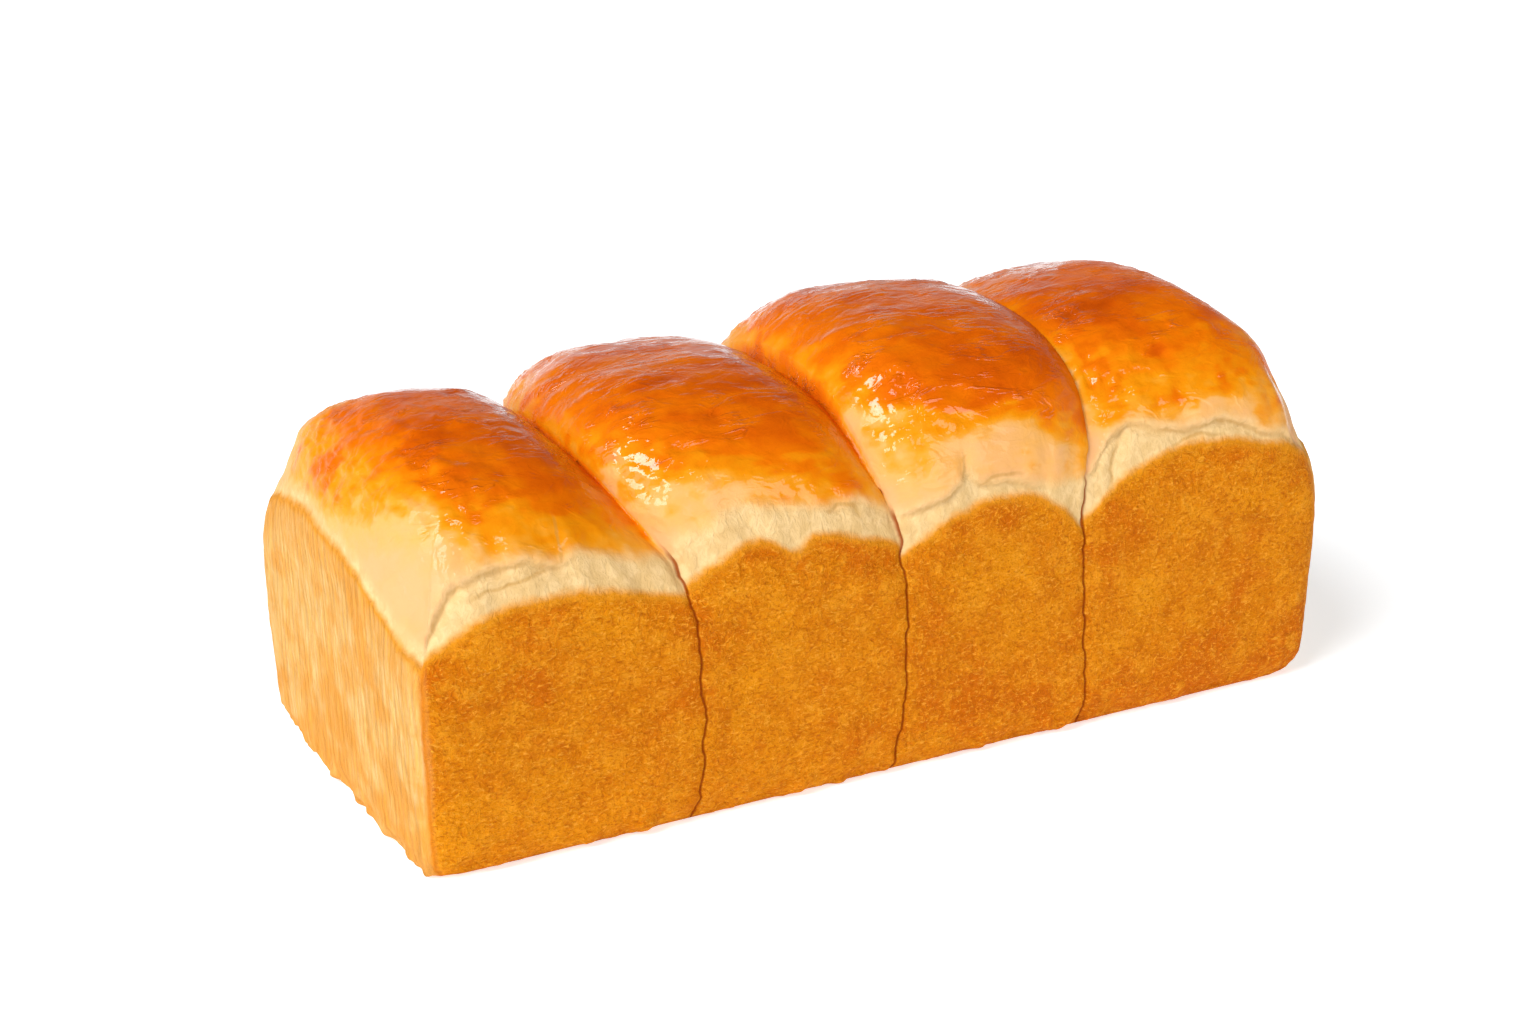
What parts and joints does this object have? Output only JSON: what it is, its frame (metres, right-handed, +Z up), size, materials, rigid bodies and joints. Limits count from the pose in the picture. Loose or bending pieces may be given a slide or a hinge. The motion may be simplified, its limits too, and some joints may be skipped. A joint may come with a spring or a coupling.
{
  "type": "tin loaf",
  "caption": "White bread loaf baked in an open tin: flat golden-brown walls below a row of swollen, glazed crowns that meet in creases. Rests on its flat base.",
  "frame": {"origin": "middle of the flat base, on the surface that the loaf rests on", "axes": "+X along the loaf from the lower end crown to the higher ones, +Y across it, +Z up"},
  "size_m": [0.2664, 0.1158, 0.109],
  "materials": {
    "crust": "baked crust: glossy egg-washed red-brown crowns, a pale matt torn band below them, dry golden-brown walls with a fine leathery grain"
  },
  "bodies": {
    "root": {"loaf": "crust"}
  },
  "joints": []
}
